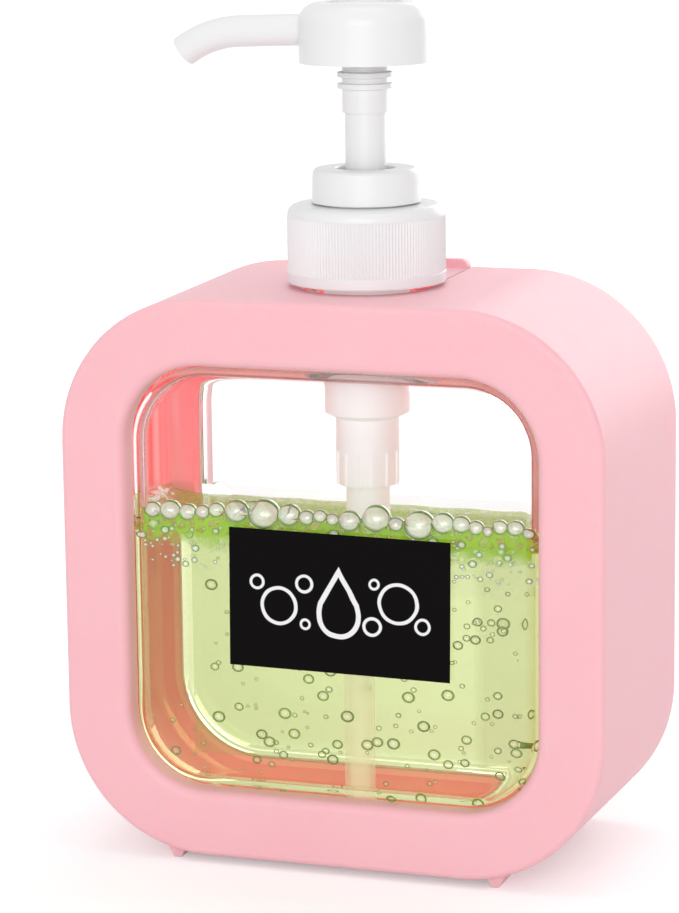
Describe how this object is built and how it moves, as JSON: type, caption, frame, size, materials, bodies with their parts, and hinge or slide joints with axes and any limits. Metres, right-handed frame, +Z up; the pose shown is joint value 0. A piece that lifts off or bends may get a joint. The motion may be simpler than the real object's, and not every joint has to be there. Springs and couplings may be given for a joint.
{
  "type": "soap dispenser",
  "caption": "Pump dispenser for liquid soap: a flat clear bottle held in a rounded square frame with a window at front and back, and a press pump with a bent nozzle.",
  "frame": {"origin": "on the table under the pump axis, midway between front and back of the frame", "axes": "+Z up along the pump axis, -Y out of the front window, +X to the right seen from the front; the nozzle points along -X"},
  "size_m": [0.115, 0.053, 0.1725],
  "materials": {
    "pink_plastic": "satin",
    "clear_plastic": "clear, polished",
    "soap_liquid": "clear green liquid with bubbles",
    "label_film": "satin film",
    "white_plastic": "smooth moulded",
    "seal_plastic": "soft, smooth",
    "tube_plastic": "translucent",
    "steel": "bright"
  },
  "bodies": {
    "case": {"front_frame": "pink_plastic", "rear_frame": "pink_plastic", "bottle": "clear_plastic", "soap": "soap_liquid", "label": "label_film"},
    "pump": {"housing": "white_plastic", "gasket": "seal_plastic", "collar": "white_plastic", "dip_tube": "tube_plastic", "inlet_ball": "steel", "spring": "steel"},
    "cap": {"closure": "white_plastic"},
    "plunger": {"piston": "seal_plastic"},
    "actuator": {"head": "white_plastic", "stem": "white_plastic", "stem_plug": "seal_plastic", "outlet_ball": "steel"}
  },
  "joints": [
    {"name": "pump_lift", "type": "slide", "parent": "case", "child": "pump", "axis": [0, 0, 1], "range_m": [0, 0.00635]},
    {"name": "closure_turn", "type": "hinge", "parent": "pump", "child": "cap", "pos_m": [0, 0, 0.12], "axis": [0, 0, 1], "range_deg": [0, 540]},
    {"name": "press", "type": "slide", "parent": "pump", "child": "plunger", "axis": [0, 0, -1], "range_m": [0, 0.015], "stiffness_N_per_m": 600, "springref_m": -0.012, "deforming": ["spring"]},
    {"name": "head_swivel", "type": "hinge", "parent": "plunger", "child": "actuator", "pos_m": [0, 0, 0.15], "axis": [0, 0, 1], "continuous": true}
  ],
  "couplings": [
    {"joint": "closure_turn", "follows": "pump_lift", "rad_per_m": 1484.2}
  ]
}
